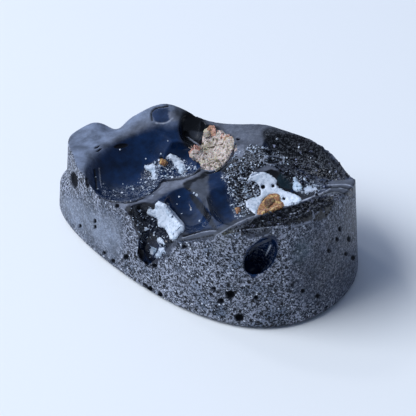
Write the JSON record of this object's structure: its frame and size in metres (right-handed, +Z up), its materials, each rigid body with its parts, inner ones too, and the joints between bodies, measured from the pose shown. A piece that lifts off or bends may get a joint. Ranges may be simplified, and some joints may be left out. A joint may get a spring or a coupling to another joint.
{
  "type": "druzy lava rock",
  "caption": "Pear-shaped slab of black vesicular lava with a ground wall, flat base and a glassy top of burst bubbles lined with small crystals.",
  "frame": {"origin": "centre of the bounding box on the flat base", "axes": "+X along the length from the narrow tip to the fat end, +Y across to the far side, +Z up off the flat base"},
  "size_m": [0.0308, 0.0188, 0.0106],
  "materials": {
    "lava": "fine-ground matte wall and glossy glassy top",
    "cream_crystal": "satin crystal",
    "pale_crystal": "glossy thin film and small crystals",
    "black_druzy": "glossy sparkling crystals"
  },
  "bodies": {
    "root": {"stone": "lava", "cream_crust": "cream_crystal", "left_basin_crust": "pale_crystal", "right_basin_crust": "pale_crystal", "notch_crust": "pale_crystal", "far_bowl_crust": "black_druzy", "front_ledge_crust": "black_druzy"}
  },
  "joints": []
}
